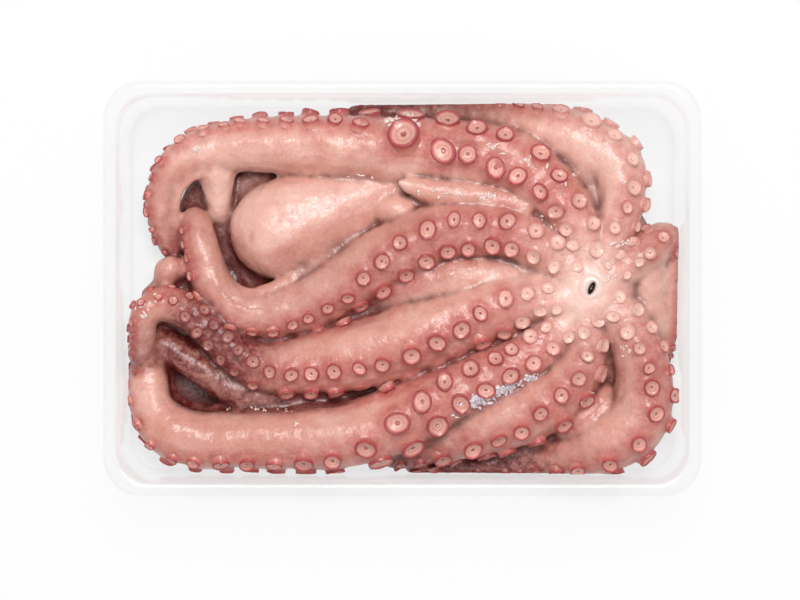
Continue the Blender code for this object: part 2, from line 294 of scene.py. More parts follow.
def smooth_step(low: float, high: float, value: np.ndarray) -> np.ndarray:
    """Rise smoothly from 0 at low to 1 at high."""
    part = np.clip((value - low) / (high - low), 0.0, 1.0)
    return part * part * (3 - 2 * part)


def new_piece(
    name: str, mesh: bpy.types.Mesh, slot: str, *materials: bpy.types.Material,
) -> bpy.types.Object:
    """Add a mesh as a piece that rides on the part's one body.

    Args:
        name: The piece's name.
        mesh: Its mesh, already in place.
        slot: The record's material slot name; not used.
        materials: Its materials, in slot order.

    Returns:
        The new object.
    """
    piece = bpy.data.objects.new(name, mesh)
    bpy.context.scene.collection.objects.link(piece)
    for material in materials:
        mesh.materials.append(material)
    mesh.shade_smooth()
    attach(piece, "root")
    return piece


def mesh_from(bm: bmesh.types.BMesh, name: str) -> bpy.types.Mesh:
    """Write a bmesh to a new mesh and free it."""
    mesh = bpy.data.meshes.new(name)
    bm.to_mesh(mesh)
    bm.free()
    return mesh


def finished_mesh(holder: bpy.types.Object) -> bpy.types.Mesh:
    """Take an object's mesh with its modifiers or bevel applied, and remove the object."""
    bpy.context.scene.collection.objects.link(holder)
    bpy.context.view_layer.update()
    graph = bpy.context.evaluated_depsgraph_get()
    mesh = bpy.data.meshes.new_from_object(holder.evaluated_get(graph))
    bpy.data.objects.remove(holder, do_unlink=True)
    return mesh


def ray_tree(skin: bpy.types.Object) -> BVHTree:
    """A tree for finding where lines meet a skin."""
    return BVHTree.FromPolygons(
        [vertex.co.copy() for vertex in skin.data.vertices],
        [tuple(face.vertices) for face in skin.data.polygons],
    )


def set_attribute(mesh: bpy.types.Mesh, name: str, values: np.ndarray) -> None:
    """Store one number for each of a mesh's vertices."""
    layer = mesh.attributes.new(name, "FLOAT", "POINT")
    layer.data.foreach_set("value", values.astype(np.float32))


class Paint:
    """A small helper that wires one material's nodes."""

    def __init__(self, name: str) -> None:
        """Start a material with a Principled shader."""
        self.material = bpy.data.materials.new(name)
        self.material.use_nodes = True
        self.tree = self.material.node_tree
        self.shader = self.tree.nodes["Principled BSDF"]
        self.output = self.tree.nodes["Material Output"]
        self.place = self.node("ShaderNodeTexCoord").outputs["Object"]

    def node(self, kind: str, **settings: object) -> bpy.types.Node:
        """Add a node and set its properties."""
        made = self.tree.nodes.new(kind)
        for key, value in settings.items():
            setattr(made, key, value)
        return made

    def feed(self, socket: bpy.types.NodeSocket, value: object) -> None:
        """Link an output to a socket, or set the socket's value."""
        if isinstance(value, bpy.types.NodeSocket):
            self.tree.links.new(value, socket)
        else:
            socket.default_value = value

    def attribute(self, name: str) -> bpy.types.NodeSocket:
        """Read one of the mesh's own numbers."""
        return self.node("ShaderNodeAttribute", attribute_name=name).outputs["Fac"]

    def noise(self, scale: float, detail: float = 3.0, rough: float = 0.55) -> bpy.types.NodeSocket:
        """A cloud pattern on the piece's own coordinates."""
        return self.cloud(self.place, scale, detail, rough)

    def wrinkles(self, along: str, scale: float) -> bpy.types.NodeSocket:
        """A pattern of short lines across a limb, from the mesh's distance along it."""
        parts = self.node("ShaderNodeSeparateXYZ")
        self.feed(parts.inputs["Vector"], self.place)
        joined = self.node("ShaderNodeCombineXYZ")
        self.feed(joined.inputs["X"], self.sum("MULTIPLY", self.attribute(along), 0.001))
        self.feed(joined.inputs["Y"], self.sum("MULTIPLY", parts.outputs["Y"], 0.25))
        self.feed(joined.inputs["Z"], self.sum("MULTIPLY", parts.outputs["Z"], 0.25))
        return self.cloud(joined.outputs["Vector"], scale, 3.0, 0.6)

    def cloud(
        self, place: bpy.types.NodeSocket, scale: float, detail: float, rough: float,
    ) -> bpy.types.NodeSocket:
        """A cloud pattern on any coordinates."""
        cloud = self.node("ShaderNodeTexNoise")
        self.feed(cloud.inputs["Vector"], place)
        self.feed(cloud.inputs["Scale"], scale)
        self.feed(cloud.inputs["Detail"], detail)
        self.feed(cloud.inputs["Roughness"], rough)
        return cloud.outputs["Fac"]

    def grey(self, value: bpy.types.NodeSocket) -> bpy.types.NodeSocket:
        """Make a grey colour from a number."""
        combined = self.node("ShaderNodeCombineColor")
        for socket in combined.inputs:
            self.feed(socket, value)
        return combined.outputs["Color"]

    def span(
        self, value: object, low: float, high: float, out_low: float = 0.0, out_high: float = 1.0,
    ) -> bpy.types.NodeSocket:
        """Map a range of values to another, held at its ends."""
        mapped = self.node("ShaderNodeMapRange")
        for socket, entry in zip(mapped.inputs[:5], (value, low, high, out_low, out_high)):
            self.feed(socket, entry)
        return mapped.outputs["Result"]

    def sum(self, kind: str, first: object, second: object) -> bpy.types.NodeSocket:
        """Combine two numbers with a math operation."""
        combined = self.node("ShaderNodeMath", operation=kind)
        self.feed(combined.inputs[0], first)
        self.feed(combined.inputs[1], second)
        return combined.outputs[0]

    def blend(
        self, factor: object, first: object, second: object, mode: str = "MIX",
    ) -> bpy.types.NodeSocket:
        """Mix two colours."""
        mix = self.node("ShaderNodeMix", data_type="RGBA", blend_type=mode)
        self.feed(mix.inputs["Factor"], factor)
        for socket, entry in ((mix.inputs["A"], first), (mix.inputs["B"], second)):
            self.feed(socket, entry)
        return mix.outputs["Result"]

    def ramp(self, value: bpy.types.NodeSocket, stops: tuple) -> bpy.types.NodeSocket:
        """A colour ramp through (place, colour) stops."""
        ramp = self.node("ShaderNodeValToRGB")
        self.feed(ramp.inputs["Fac"], value)
        elements = ramp.color_ramp.elements
        while len(elements) < len(stops):
            elements.new(0.5)
        for element, (place, colour) in zip(elements, stops):
            element.position = place
            element.color = colour
        return ramp.outputs["Color"]

    def bump(self, *layers: tuple[bpy.types.NodeSocket, float, float]) -> None:
        """Stack bumps on the shader: each a height, a strength and a depth in metres."""
        normal = None
        for height, strength, depth in layers:
            bump = self.node("ShaderNodeBump")
            bump.inputs["Strength"].default_value = strength
            bump.inputs["Distance"].default_value = depth
            self.feed(bump.inputs["Height"], height)
            if normal is not None:
                self.feed(bump.inputs["Normal"], normal)
            normal = bump.outputs["Normal"]
        self.feed(self.shader.inputs["Normal"], normal)
        self.feed(self.shader.inputs["Coat Normal"], normal)

    def set(self, **values: object) -> None:
        """Set or link the shader's sockets, named with underscores for spaces."""
        for key, value in values.items():
            self.feed(self.shader.inputs[key.replace("_", " ")], value)


def srgb(red: int, green: int, blue: int) -> tuple[float, float, float, float]:
    """Turn a colour as seen on screen into the linear one that shaders use."""
    linear = [
        part / 12.92 if part <= 0.04045 else ((part + 0.055) / 1.055) ** 2.4
        for part in (red / 255, green / 255, blue / 255)
    ]
    return (*linear, 1.0)


@dataclass(frozen=True)
class FleshColours:
    """The raw skin's colours, as seen on screen."""

    cream: tuple = srgb(222, 174, 160)
    pink: tuple = srgb(204, 142, 127)
    peach: tuple = srgb(196, 126, 108)
    rose: tuple = srgb(188, 96, 90)
    rim: tuple = srgb(152, 46, 56)
    dark: tuple = srgb(102, 28, 28)
    # Painted shade: the colour of the darkened folds and of the parts near the tray's floor.
    crease_shade: tuple = srgb(86, 20, 16)
    pale: tuple = srgb(236, 198, 186)
    cup_pale: tuple = srgb(243, 204, 190)


class Flesh(Enum):
    """Which part of the body a finish is for."""

    SKIN = "skin"
    SUCKER = "sucker"


@dataclass(frozen=True)
class FleshFinish:
    """Wet raw flesh: mottled pink, rosy by the suckers, with painted shade in folds and low down."""

    kind: Flesh
    colours: FleshColours = field(default_factory=FleshColours)

    def base(self, paint: Paint) -> bpy.types.NodeSocket:
        """The mottled ground colour that skin and suckers share."""
        cloud = paint.span(paint.noise(95.0, 4.0), 0.35, 0.68)
        warm = paint.span(paint.noise(48.0, 3.0), 0.42, 0.7, 0.0, 0.6)
        mottled = paint.blend(cloud, self.colours.pink, self.colours.cream)
        return paint.blend(warm, mottled, self.colours.peach)

    def skin(self, paint: Paint) -> bpy.types.NodeSocket:
        """The skin's colour: the ground, then paleness, rose, darkness with painted shade low down, and
        painted shade in the creases.
        """
        colours = self.colours
        mottle = paint.span(paint.noise(330.0, 3.0, 0.7), 0.3, 0.7, 0.55, 1.35)
        layers = (("pale", 0.9, colours.pale), ("rosy", 0.7, colours.rose), ("tone", 0.92, colours.dark),
                  ("crease_shade", 0.85, colours.crease_shade))
        base = self.base(paint)
        for name, weight, colour in layers:
            amount = paint.sum("MULTIPLY", paint.attribute(name), weight)
            if name in ("rosy", "tone"):
                amount = paint.span(paint.sum("MULTIPLY", amount, mottle), 0.0, 1.0)
            base = paint.blend(amount, base, colour)
        return base

    def cup(self, paint: Paint) -> bpy.types.NodeSocket:
        """A sucker's colour: pale dish with painted shade in its central pit, thin dark rim, rosy sides."""
        colours = self.colours
        # The two darkest stops at the dish's centre are painted shade at the bottom of the pit.
        dish = paint.ramp(paint.sum("MULTIPLY", paint.attribute("zone"), 0.5), (
            (0.00, srgb(156, 74, 66)), (0.07, srgb(180, 98, 86)), (0.12, srgb(232, 182, 168)),
            (0.20, srgb(214, 148, 134)), (0.28, srgb(230, 174, 160)), (0.325, srgb(202, 108, 104)),
            (0.37, colours.rim), (0.48, srgb(160, 46, 58)), (0.57, srgb(186, 84, 84)),
            (0.75, srgb(200, 112, 104)), (1.00, srgb(206, 138, 122)),
        ))
        base = paint.blend(0.9, self.base(paint), dish)
        base = paint.blend(paint.attribute("pale"), base, colours.cup_pale)
        return paint.blend(paint.sum("MULTIPLY", paint.attribute("tone"), 0.6), base, colours.dark)

    def make(self) -> bpy.types.Material:
        """Build the material.

        Returns:
            The finished material.
        """
        paint = Paint(f"octopus_{self.kind.value}")
        base = self.skin(paint) if self.kind is Flesh.SKIN else self.cup(paint)
        speck = paint.span(paint.noise(900.0, 2.0), 0.35, 0.62, 0.93, 1.03)
        paint.set(
            Base_Color=paint.blend(1.0, base, paint.grey(speck), "MULTIPLY"),
            Roughness=paint.span(paint.noise(160.0), 0.3, 0.7, 0.36, 0.52),
            Subsurface_Weight=0.3,
            Subsurface_Scale=0.003,
            Coat_Weight=0.4,
            Coat_Roughness=0.19,
            IOR=1.4,
        )
        paint.shader.inputs["Subsurface Radius"].default_value = (1.0, 0.4, 0.28)
        bumps = [
            (paint.noise(150.0, 2.0), 0.4, 0.0012),
            (paint.noise(430.0, 2.0), 0.3, 0.0006),
            (paint.noise(1150.0, 2.0), 0.4, 0.0002),
        ]
        if self.kind is Flesh.SKIN:
            bumps.append((paint.wrinkles("along", 380.0), 0.35, 0.0008))
        paint.bump(*bumps)
        return paint.material


@dataclass(frozen=True)
class ClearPlastic:
    """Thin clear sheet: see-through face on, greyer and shinier where it is seen edge on."""

    edge: tuple = srgb(220, 221, 224)
    face: tuple = srgb(253, 253, 253)

    def make(self) -> bpy.types.Material:
        """Build the material.

        Returns:
            The finished material.
        """
        paint = Paint("clear_tray_sheet")
        paint.tree.nodes.remove(paint.shader)
        facing = paint.node("ShaderNodeLayerWeight")
        facing.inputs["Blend"].default_value = 0.3
        through = paint.node("ShaderNodeBsdfTransparent")
        grazing = paint.span(facing.outputs["Facing"], 0.7, 1.0)
        paint.feed(through.inputs["Color"], paint.blend(grazing, self.face, self.edge))
        gloss = paint.node("ShaderNodeBsdfGlossy")
        gloss.inputs["Roughness"].default_value = 0.06
        gloss.inputs["Color"].default_value = (1.0, 1.0, 1.0, 1.0)
        fresnel = paint.node("ShaderNodeFresnel")
        fresnel.inputs["IOR"].default_value = 1.45
        mix = paint.node("ShaderNodeMixShader")
        paint.feed(mix.inputs["Fac"], paint.sum("MULTIPLY", fresnel.outputs["Fac"], 0.16))
        paint.feed(mix.inputs[1], through.outputs["BSDF"])
        paint.feed(mix.inputs[2], gloss.outputs["BSDF"])
        paint.feed(paint.output.inputs["Surface"], mix.outputs["Shader"])
        return paint.material


@dataclass
class Room:
    """The space inside the tray that the flesh lies in, in millimetres."""

    half_x: float
    half_y: float
    floor: float
    corner: float = 13.0
    foot: float = 5.0
    lean: float = 0.024

    def press(self, points: np.ndarray) -> np.ndarray:
        """Push points that lie past the wall or the floor back to it.

        Args:
            points: Places in millimetres.

        Returns:
            The places, none outside the room.
        """
        pressed = points.copy()
        pressed[:, 2] = np.maximum(pressed[:, 2], self.floor)
        rise = np.clip((pressed[:, 2] - self.floor) / self.foot, 0.0, 1.0)
        inset = self.foot * (1 - np.sqrt(np.clip(1 - (1 - rise) ** 2, 0.0, 1.0)))
        spread = self.lean * np.maximum(pressed[:, 2] - self.floor - self.foot, 0.0)
        reach = np.stack([self.half_x - inset + spread, self.half_y - inset + spread], axis=1)
        flat = np.abs(pressed[:, :2])
        flat = np.minimum(flat, reach)
        past = flat - (reach - self.corner)
        outside = (past > 0).all(axis=1)
        length = np.linalg.norm(past, axis=1)
        over = outside & (length > self.corner)
        scale = np.where(over, self.corner / np.maximum(length, 1e-9), 1.0)[:, None]
        flat = np.where(over[:, None], reach - self.corner + past * scale, flat)
        pressed[:, :2] = np.sign(pressed[:, :2]) * flat
        return pressed


class SuckerRows:
    """Works out where every sucker sits along the arms."""

    PITCH = 1.34
    SPREAD = 27.0
    LEAST = 0.9
    CLOSEST = 0.8

    def __init__(self, courses: dict[str, Course]) -> None:
        """Keep the arms' lines and start the seeded draws."""
        self.courses = courses
        self.draw = random.Random(SEED)
        self.laid: list[Sucker] = []

    def along(self, limb: Limb) -> None:
        """Lay two staggered rows on one arm, from the crown to the tip."""
        course = self.courses[limb.name]
        for side in (-1, 1):
            place = 2.0 + limb.phase * 6.0 + (0.0 if side < 0 else 4.5)
            while place < course.distance[-1] - 1.0:
                index = course.index_at(place)
                width = course.extra[index, 2] * self.draw.uniform(0.86, 1.12)
                sucker = self.seat(limb, course, index, side, max(width / 2, self.LEAST))
                if self.clear(sucker):
                    self.laid.append(sucker)
                place += self.PITCH * width * self.draw.uniform(0.92, 1.1) + 0.3

    def clear(self, sucker: Sucker) -> bool:
        """Tell whether a sucker keeps off the ones already laid."""
        return all(
            np.linalg.norm(sucker.seat - other.seat) > self.CLOSEST * (sucker.radius + other.radius)
            for other in self.laid
        )

    def seat(self, limb: Limb, course: Course, index: int, side: int, radius: float) -> Sucker:
        """Place one sucker on its arm's oral side."""
        half = course.radius[index]
        turn, tone, _ = course.extra[index]
        spread = side * (self.SPREAD + self.draw.uniform(-5.0, 5.0))
        aim = course.facing(np.full(len(course.points), turn + spread))[index]
        oral = course.facing(np.full(len(course.points), turn))[index]
        wander = np.array([self.draw.uniform(-0.2, 0.2) for _ in range(3)])
        axis = 0.75 * aim + 0.25 * oral + wander
        axis /= np.linalg.norm(axis)
        from_mouth = np.linalg.norm(course.points[index][:2] - np.array(MOUTH[:2]))
        crown = 1.0 - smooth_step(14.0, 48.0, np.array(from_mouth))
        return Sucker(
            seat=course.points[index] + aim * (half * 0.96 + radius * 0.22),
            axis=axis,
            root=course.points[index] + aim * half * 0.1,
            radius=radius,
            tone=float(np.clip(tone, 0.0, 1.0)),
            pale=float(np.clip(max(0.7 * crown, -tone), 0.0, 0.7)),
            limb=limb.name,
        )


class Body:
    """The octopus's skin: arms, columns under the suckers, head sac, folds and webs as one."""

    VOXEL = 1.25 * MM
    SLIM = 0.93
    SHIFT = 0.05

    def __init__(self, room: Room) -> None:
        """Read the arms' and folds' lines and seat the suckers."""
        self.room = room
        self.courses = {limb.name: Course(limb.stops) for limb in LIMBS}
        self.folds = {fold.name: Course(fold.stops) for fold in FOLDS}
        rows = SuckerRows(self.courses)
        for limb in LIMBS:
            rows.along(limb)
        self.suckers = rows.laid

    def tube(self, points: np.ndarray, radii: np.ndarray) -> bpy.types.Mesh:
        """Sweep a round section along points, in millimetres."""
        curve = bpy.data.curves.new("sweep", "CURVE")
        curve.dimensions = "3D"
        curve.bevel_depth = MM
        curve.bevel_resolution = 6
        curve.use_fill_caps = True
        spline = curve.splines.new("POLY")
        spline.points.add(len(points) - 1)
        flat = np.column_stack([points * MM, np.ones(len(points))]).ravel()
        spline.points.foreach_set("co", flat)
        spline.points.foreach_set("radius", radii)
        mesh = finished_mesh(bpy.data.objects.new("sweep", curve))
        bpy.data.curves.remove(curve)
        return mesh

    def add_sweep(self, bm: bmesh.types.BMesh, points: np.ndarray, radii: np.ndarray) -> None:
        """Add a tube with round ends."""
        mesh = self.tube(points, radii)
        bm.from_mesh(mesh)
        bpy.data.meshes.remove(mesh)
        for place, radius in ((points[0], radii[0]), (points[-1], radii[-1])):
            self.add_ball(bm, place, (radius, radius, radius))

    @staticmethod
    def add_ball(bm: bmesh.types.BMesh, centre: np.ndarray, half: tuple[float, float, float]) -> None:
        """Add a ball stretched to three half sizes, in millimetres."""
        place = Matrix.Translation(Vector(centre) * MM) @ Matrix.Diagonal((*(Vector(half) * MM), 1.0))
        sides = 12 if max(half) < 7.0 else 28
        bmesh.ops.create_uvsphere(bm, u_segments=sides, v_segments=2 * sides // 3, radius=1.0, matrix=place)

    @staticmethod
    def add_column(bm: bmesh.types.BMesh, sucker: Sucker) -> None:
        """Add the fleshy column that a sucker stands on."""
        top = Vector(sucker.seat - sucker.axis * sucker.radius * 0.35) * MM
        root = Vector(sucker.root) * MM
        run = top - root
        turn = run.to_track_quat("Z", "Y").to_matrix().to_4x4()
        bmesh.ops.create_cone(
            bm, cap_ends=True, segments=14, radius1=sucker.radius * 1.5 * MM,
            radius2=sucker.radius * 1.03 * MM, depth=run.length,
            matrix=Matrix.Translation((top + root) / 2) @ turn,
        )

    def union(self) -> bpy.types.Mesh:
        """Grow all the parts together into one closed skin."""
        bm = bmesh.new()
        for limb in LIMBS:
            course = self.courses[limb.name]
            oral = course.facing(course.extra[:, 0])
            core = course.points - oral * (self.SHIFT * course.radius)[:, None]
            self.add_sweep(bm, core, course.radius * self.SLIM)
        for fold in FOLDS:
            course = self.folds[fold.name]
            if fold.flat == 1.0:
                self.add_sweep(bm, course.points, course.radius)
                continue
            for point, radius in zip(course.points[::3], course.radius[::3]):
                self.add_ball(bm, point, (radius, radius, radius * fold.flat))
        for centre, half in MASSES:
            self.add_ball(bm, centre, half)
        for sucker in self.suckers:
            if sucker.radius > 1.6:
                self.add_column(bm, sucker)
        mesh = mesh_from(bm, "union")
        holder = bpy.data.objects.new("union", mesh)
        grow = holder.modifiers.new("grow", "REMESH")
        grow.mode = "VOXEL"
        grow.voxel_size = self.VOXEL
        skin = finished_mesh(holder)
        bpy.data.meshes.remove(mesh)
        return skin

    def build(self, finish: bpy.types.Material) -> bpy.types.Object:
        """Build the skin and its own numbers for the finish.

        Args:
            finish: The skin's material.

        Returns:
            The skin.
        """
        mesh = self.union()
        mesh.name = "octopus_skin"
        shape = SkinShape(mesh)
        shape.relax(3, 0.5)
        shape.relief()
        shape.dimple(np.array(MOUTH), 2.6, 5.0)
        shape.points = self.room.press(shape.points)
        shape.write()
        SkinMarks(self, shape).write()
        skin = new_piece("octopus_skin", mesh, "octopus_flesh", finish)
        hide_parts("octopus")
        LOG.info("skin: %d vertices, %d suckers", len(mesh.vertices), len(self.suckers))
        return skin


class SkinShape:
    """A skin mesh as arrays of points, in millimetres, with quick smoothing."""

    def __init__(self, mesh: bpy.types.Mesh) -> None:
        """Read the mesh's points and edges."""
        self.mesh = mesh
        count = len(mesh.vertices)
        flat = np.empty(count * 3, dtype=np.float32)
        mesh.vertices.foreach_get("co", flat)
        self.points = flat.reshape(-1, 3).astype(float) / MM
        ends = np.empty(len(mesh.edges) * 2, dtype=np.int32)
        mesh.edges.foreach_get("vertices", ends)
        ends = ends.reshape(-1, 2)
        self.start = np.concatenate([ends[:, 0], ends[:, 1]])
        self.end = np.concatenate([ends[:, 1], ends[:, 0]])
        self.degree = np.maximum(np.bincount(self.start, minlength=count), 1)

    def mean(self, values: np.ndarray) -> np.ndarray:
        """The mean of each point's neighbours."""
        columns = [
            np.bincount(self.start, weights=values[self.end, axis], minlength=len(values)) / self.degree
            for axis in range(values.shape[1])
        ]
        return np.stack(columns, axis=1)

    def relax(self, times: int, amount: float) -> None:
        """Even out the points a number of times."""
        for _ in range(times):
            self.points += (self.mean(self.points) - self.points) * amount

    def normals(self) -> np.ndarray:
        """The points' outward directions."""
        self.write()
        flat = np.empty(len(self.points) * 3, dtype=np.float32)
        self.mesh.vertices.foreach_get("normal", flat)
        return flat.reshape(-1, 3).astype(float)

    def relief(self) -> None:
        """Raise soft lumps and folds in the skin."""
        normals = self.normals()
        lumps = np.array([
            0.75 * noise.noise(Vector(point * 0.075)) + 0.34 * noise.noise(Vector(point * 0.26))
            for point in self.points
        ])
        self.points += normals * lumps[:, None]

    def dimple(self, centre: np.ndarray, radius: float, depth: float) -> None:
        """Sink the skin round a place."""
        away = np.linalg.norm(self.points[:, :2] - centre[:2], axis=1)
        upper = self.points[:, 2] > centre[2] - 9.0
        self.points[:, 2] -= depth * np.exp(-(away / radius) ** 2) * upper

    def hollows(self, times: int) -> np.ndarray:
        """How far each point lies inside a smoothed copy of the skin: above 0 in folds."""
        soft = self.points.copy()
        for _ in range(times):
            soft += (self.mean(soft) - soft) * 0.6
        return np.einsum("ij,ij->i", soft - self.points, self.normals())

    def write(self) -> None:
        """Put the points back in the mesh."""
        self.mesh.vertices.foreach_set("co", (self.points * MM).astype(np.float32).ravel())
        self.mesh.update()


class SkinMarks:
    """The skin's own numbers: darkness, paleness, rose by the suckers, and painted shade in the folds and
    near the tray's floor.
    """

    STREAK = (-67.0, 23.0)
    STREAK_SIZE = (1.5, 3.2)

    def __init__(self, body: Body, shape: SkinShape) -> None:
        """Keep the body and its shaped skin."""
        self.body = body
        self.shape = shape

    def nearest(self) -> tuple[np.ndarray, np.ndarray]:
        """The darkness and the distance along of the arm or fold that each point belongs to."""
        body = self.body
        lines = [(course, course.extra[:, 1]) for course in body.courses.values()]
        lines += [(course, course.extra[:, 0]) for course in body.folds.values()]
        places = np.vstack([course.points for course, _ in lines])
        tones = np.concatenate([tone for _, tone in lines])
        radii = np.concatenate([course.radius for course, _ in lines])
        along = np.concatenate([course.distance for course, _ in lines])
        tree = KDTree(len(places))
        for index, place in enumerate(places):
            tree.insert(place, index)
        tree.balance()
        found = np.empty(len(self.shape.points), dtype=int)
        for number, point in enumerate(self.shape.points):
            near = tree.find_n(point, 8)
            found[number] = min(near, key=lambda entry: entry[2] - radii[entry[1]])[1]
        return np.clip(tones[found], -1.0, 1.0), along[found]

    def near_suckers(self) -> np.ndarray:
        """How close each point is to a sucker's rim."""
        suckers = self.body.suckers
        tree = KDTree(len(suckers))
        for index, sucker in enumerate(suckers):
            tree.insert(sucker.seat, index)
        tree.balance()
        found = np.empty(len(self.shape.points))
        for number, point in enumerate(self.shape.points):
            _, index, away = tree.find(point)
            found[number] = away / (suckers[index].radius + 1.0)
        return 1.0 - smooth_step(0.9, 2.3, found)

    def write(self) -> None:
        """Work the numbers out and store them."""
        points = self.shape.points
        tone, along = self.nearest()
        tone = tone[:, None]
        for _ in range(10):
            tone += (self.shape.mean(tone) - tone) * 0.6
        mouth = np.linalg.norm(points[:, :2] - np.array(MOUTH[:2]), axis=1)
        crown = 1.0 - smooth_step(8.0, 46.0, mouth)
        pale = np.clip(0.85 * crown + np.clip(-tone[:, 0], 0.0, 1.0), 0.0, 1.0)
        # Painted shade in the folds: darker the deeper a point lies inside a smoothed copy of the skin.
        crease_shade = np.clip(self.shape.hollows(6) * 1.6, 0.0, 1.0) * 0.55
        crease_shade += smooth_step(0.2, 2.4, self.shape.hollows(45))
        # Painted shade near the tray's floor: points below 17 mm darken, in the tone and in the crease
        # shade, the low masses between the arms among them.
        low = 1.0 - smooth_step(7.0, 17.0, points[:, 2])
        reach = (points[:, :2] - np.array(self.STREAK)) / np.array(self.STREAK_SIZE)
        streak = np.exp(-(reach ** 2).sum(axis=1))
        rosy = self.near_suckers() * (1.0 - 0.6 * pale) + 0.75 * streak
        mesh = self.shape.mesh
        # The tone attribute holds the skin's own darkness plus painted shade near the tray's floor.
        set_attribute(mesh, "tone", np.clip(np.clip(tone[:, 0], 0.0, 1.0) + 0.8 * low, 0.0, 1.0))
        set_attribute(mesh, "along", along)
        set_attribute(mesh, "pale", pale)
        set_attribute(mesh, "rosy", np.clip(rosy, 0.0, 1.0))
        set_attribute(mesh, "crease_shade", np.clip(crease_shade * (1.0 - 0.5 * pale) + 0.55 * low, 0.0, 1.0))


@dataclass(frozen=True)
class SuckerForm:
    """A sucker's turned profile for a radius of 1: radius, height and colour zone."""

    segments: int
    profile: tuple[tuple[float, float, float], ...]


LARGE_SUCKER = SuckerForm(18, (
    (0.0, -0.34, 0.0), (0.10, -0.32, 0.05), (0.18, -0.20, 0.16), (0.32, -0.17, 0.28), (0.54, -0.15, 0.46),
    (0.73, -0.07, 0.60), (0.87, 0.04, 0.71), (0.95, 0.08, 0.80), (1.0, 0.01, 0.92), (0.99, -0.14, 1.10),
    (0.97, -0.34, 1.40), (1.05, -0.58, 1.8), (1.14, -0.85, 2.0),
))
SMALL_SUCKER = SuckerForm(10, (
    (0.0, -0.20, 0.06), (0.28, -0.10, 0.26), (0.66, -0.03, 0.50), (0.92, 0.07, 0.78), (1.0, -0.06, 1.0),
    (0.92, -0.40, 1.4), (1.0, -1.0, 2.0),
))
MOUTH_LIPS = SuckerForm(32, (
    (0.10, -5.0, 0.0), (0.9, -3.2, 0.05), (1.5, -1.2, 0.15), (1.9, -0.1, 0.3), (2.5, 0.5, 0.5),
    (3.4, 0.62, 0.66), (4.4, 0.42, 0.8), (5.6, 0.12, 0.95), (7.2, -0.7, 1.0),
))


def spin(form: SuckerForm) -> bpy.types.Mesh:
    """Turn a profile round the Z axis, open where it meets the flesh, facing up."""
    bm = bmesh.new()
    zone = bm.verts.layers.float.new("zone")
    verts = []
    for radius, height, mark in form.profile:
        vert = bm.verts.new((radius, 0.0, height))
        vert[zone] = mark
        verts.append(vert)
    edges = [bm.edges.new(pair) for pair in zip(verts, verts[1:])]
    bmesh.ops.spin(
        bm, geom=verts + edges, axis=(0, 0, 1), cent=(0, 0, 0), steps=form.segments,
        angle=2 * math.pi, use_merge=True,
    )
    bmesh.ops.remove_doubles(bm, verts=bm.verts, dist=1e-5)
    bmesh.ops.recalc_face_normals(bm, faces=bm.faces)
    rim = max(bm.faces, key=lambda face: face.calc_center_median().z)
    if rim.normal.z < 0:
        bmesh.ops.reverse_faces(bm, faces=bm.faces)
    return mesh_from(bm, "turned_form")


class Suckers:
    """Every sucker as a turned cup on the skin, one piece for each arm."""

    LARGE_FROM = 2.3
    REACH = 14.0
    COVERED = 1.6
    RUFFLE = 0.32
    SHIFTS = (0.0, 31.0, 67.0)

    def __init__(self, body: Body, skin: bpy.types.Object) -> None:
        """Keep the body's suckers and the skin that they sit on."""
        self.body = body
        self.tree = ray_tree(skin)
        self.draw = random.Random(SEED + 1)
        self.templates = {form: spin(form) for form in (LARGE_SUCKER, SMALL_SUCKER)}

    def settle(self, sucker: Sucker) -> Vector | None:
        """Find where a sucker meets the skin.

        Args:
            sucker: The sucker as laid out.

        Returns:
            The rim's centre in metres, or None where other flesh covers it.
        """
        axis = Vector(sucker.axis)
        start = (Vector(sucker.seat) + axis * 5.0) * MM
        hit, _, _, away = self.tree.ray_cast(start, -axis, self.REACH * MM)
        if hit is None or away < self.COVERED * MM:
            return None
        return hit + axis * (sucker.radius * 0.24 + 0.3) * MM

    def add(self, bm: bmesh.types.BMesh, sucker: Sucker, place: Vector) -> None:
        """Add one cup with its own slight squash and tilt."""
        form = LARGE_SUCKER if sucker.radius > self.LARGE_FROM else SMALL_SUCKER
        known = len(bm.verts)
        bm.from_mesh(self.templates[form])
        bm.verts.ensure_lookup_table()
        verts = bm.verts[known:]
        squash = self.draw.uniform(0.78, 1.0)
        size = sucker.radius * MM
        shape = Matrix.Diagonal((size, size * squash, size * self.draw.uniform(0.85, 1.15), 1.0))
        roll = Matrix.Rotation(self.draw.uniform(0, math.tau), 4, "Z")
        face = Vector(sucker.axis).to_track_quat("Z", "Y").to_matrix().to_4x4()
        bmesh.ops.transform(bm, matrix=Matrix.Translation(place) @ face @ roll @ shape, verts=verts)
        tone = bm.verts.layers.float["tone"]
        pale = bm.verts.layers.float["pale"]
        shade = sucker.tone + self.draw.uniform(-0.05, 0.25) * (1.0 - sucker.pale)
        for vert in verts:
            vert[tone] = max(0.0, shade)
            vert[pale] = sucker.pale

    def build(self, finish: bpy.types.Material) -> list[bpy.types.Object]:
        """Build one piece of suckers for each arm.

        Args:
            finish: The suckers' material.

        Returns:
            The pieces.
        """
        pieces = []
        for limb in LIMBS:
            bm = bmesh.new()
            for name in ("zone", "tone", "pale"):
                bm.verts.layers.float.new(name)
            count = 0
            for sucker in self.body.suckers:
                place = self.settle(sucker) if sucker.limb == limb.name else None
                if place is not None:
                    self.add(bm, sucker, place)
                    count += 1
            mesh = mesh_from(bm, f"suckers_{limb.name}")
            shape = SkinShape(mesh)
            ruffle = np.array([
                [noise.noise(Vector(point * 0.55) + Vector((shift, 0.0, 0.0))) for shift in self.SHIFTS]
                for point in shape.points
            ])
            shape.points = self.body.room.press(shape.points + ruffle * self.RUFFLE)
            shape.write()
            pieces.append(new_piece(f"suckers_{limb.name}", mesh, "octopus_flesh", finish))
            LOG.info("suckers on %s: %d", limb.name, count)
        return pieces


